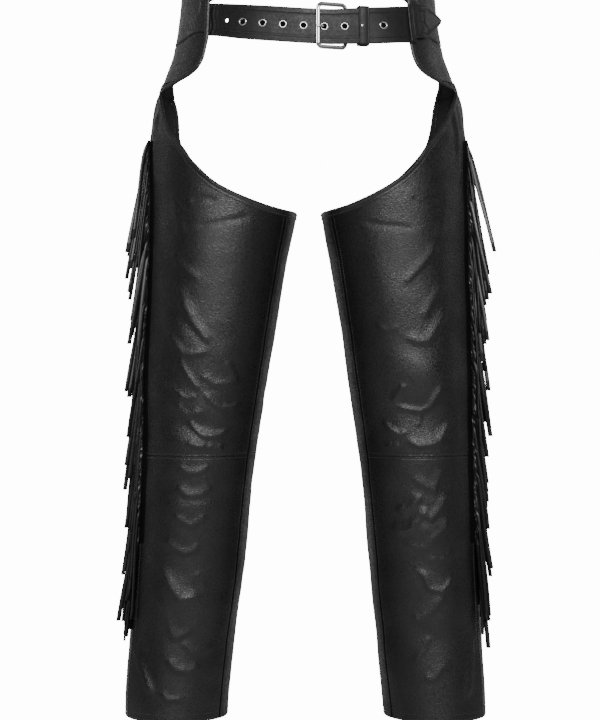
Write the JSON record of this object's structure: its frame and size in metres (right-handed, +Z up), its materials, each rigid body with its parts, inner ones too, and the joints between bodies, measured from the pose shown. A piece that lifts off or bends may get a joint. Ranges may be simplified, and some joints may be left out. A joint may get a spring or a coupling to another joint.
{
  "type": "leather chaps",
  "caption": "Black leather chaps with hip yokes, open seat, fringed outer seams and a buckled belt, filled out as if worn.",
  "frame": {"origin": "middle of the waist ring at the belt's mid-height, on the garment's centre plane", "axes": "+Z up to the waist, -Y to the wearer's front, +X to the wearer's left"},
  "size_m": [0.5362, 0.2495, 1.1106],
  "materials": {
    "leather_leg": "pebbled black garment leather",
    "leather_yoke": "smooth black leather",
    "leather_belt": "firm black belt leather, stitched edges",
    "leather_fringe": "cut black leather strips",
    "metal_chrome": "polished"
  },
  "bodies": {
    "root": {"front_thigh_right": "leather_leg", "back_thigh_right": "leather_leg", "front_shin_right": "leather_leg", "back_calf_right": "leather_leg", "hip_piece_right": "leather_yoke", "waist_yoke_right": "leather_yoke", "fringe_right": "leather_fringe", "front_thigh_left": "leather_leg", "back_thigh_left": "leather_leg", "front_shin_left": "leather_leg", "back_calf_left": "leather_leg", "hip_piece_left": "leather_yoke", "waist_yoke_left": "leather_yoke", "fringe_left": "leather_fringe", "long_strap": "leather_belt", "buckle_strap": "leather_belt", "belt_keeper": "leather_belt", "pointed_tab": "leather_belt", "buckle_frame": "metal_chrome", "prong": "metal_chrome", "keeper_stud": "metal_chrome", "eyelet_1": "metal_chrome", "eyelet_2": "metal_chrome", "eyelet_3": "metal_chrome", "eyelet_4": "metal_chrome", "eyelet_5": "metal_chrome", "eyelet_6": "metal_chrome", "eyelet_7": "metal_chrome"}
  },
  "joints": []
}
